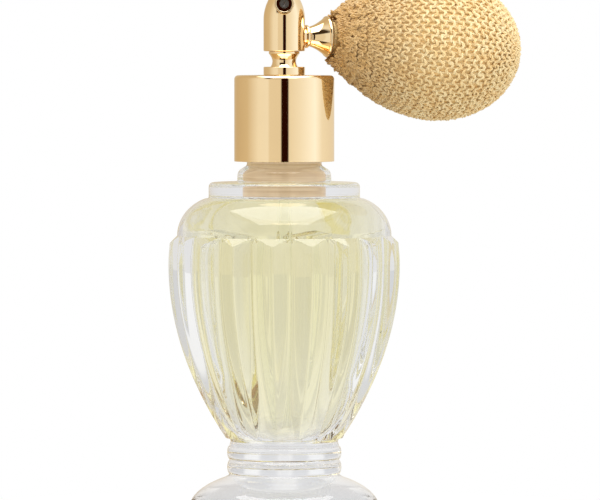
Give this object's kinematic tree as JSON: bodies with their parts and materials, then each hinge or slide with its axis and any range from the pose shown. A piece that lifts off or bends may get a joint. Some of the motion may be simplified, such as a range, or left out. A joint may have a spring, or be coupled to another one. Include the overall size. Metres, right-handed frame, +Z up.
{
  "type": "perfume atomiser",
  "caption": "Ribbed glass perfume bottle on a round foot, with a gold screw collar, a swivelling spray head and a net-covered squeeze bulb.",
  "frame": {"origin": "centre of the flat underside of the bottle's foot", "axes": "+Z up along the bottle's axis; the squeeze bulb lies in the XZ plane, towards +X"},
  "size_m": [0.0864, 0.0554, 0.1307],
  "materials": {
    "glass": "clear pressed glass, polished",
    "gold": "pale gold plate, mirror polished",
    "valve_steel": "plain stainless steel",
    "white_plastic": "white moulded plastic",
    "tan_plastic": "tan metallised plastic",
    "dark_plastic": "dark moulded plastic",
    "clear_tube": "clear tube",
    "seal_rubber": "black seal rubber",
    "bulb_rubber": "tan moulded rubber",
    "yarn": "straw-coloured knitted yarn with a slight sheen"
  },
  "bodies": {
    "bottle": {"glass_bottle": "glass", "neck_liner": "tan_plastic"},
    "sprayer": {"neck_gasket": "seal_rubber", "sprayer_housing": "white_plastic", "dip_tube": "clear_tube", "stem_spool": "gold", "stem_clip": "valve_steel"},
    "collar": {"collar_shell": "gold", "threaded_insert": "white_plastic"},
    "head": {"spray_head": "gold", "nozzle_ring": "gold", "orifice_plate": "dark_plastic", "swirl_core": "valve_steel", "stem_seal": "seal_rubber", "head_bush": "gold", "bulb_horn": "gold", "horn_washer": "gold", "outlet_valve_body": "white_plastic", "outlet_seat": "valve_steel", "rubber_bulb": "bulb_rubber", "neck_binding": "yarn", "net_cover": "yarn"},
    "outlet_ball": {"outlet_valve_ball": "valve_steel"},
    "tail_valve": {"inlet_valve_body": "white_plastic", "inlet_ball_stop": "valve_steel"},
    "inlet_ball": {"inlet_valve_ball": "valve_steel"}
  },
  "joints": [
    {"name": "collar_unscrew", "type": "hinge", "parent": "sprayer", "child": "collar", "pos_m": [0, 0, 0.0959], "axis": [0, 0, 1], "range_deg": [0, 540]},
    {"name": "sprayer_lift", "type": "slide", "parent": "bottle", "child": "sprayer", "axis": [0, 0, 1], "range_m": [0, 0.00375]},
    {"name": "head_swivel", "type": "hinge", "parent": "sprayer", "child": "head", "pos_m": [0, 0, 0.1118], "axis": [0, 0, 1], "continuous": true},
    {"name": "bulb_squeeze", "type": "slide", "parent": "head", "child": "tail_valve", "axis": [-0.9955, 0, 0.095], "range_m": [0, 0.012], "stiffness_N_per_m": 400, "deforming": ["rubber_bulb", "net_cover"]},
    {"name": "outlet_valve_lift", "type": "slide", "parent": "head", "child": "outlet_ball", "axis": [-1, 0, 0], "range_m": [0, 0.0008]},
    {"name": "inlet_valve_lift", "type": "slide", "parent": "tail_valve", "child": "inlet_ball", "axis": [-0.9955, 0, 0.095], "range_m": [0, 0.0008]}
  ],
  "couplings": [
    {"joint": "collar_unscrew", "follows": "sprayer_lift", "rad_per_m": 2513.3},
    {"joint": "outlet_valve_lift", "follows": "bulb_squeeze", "ratio": 0.066667}
  ]
}
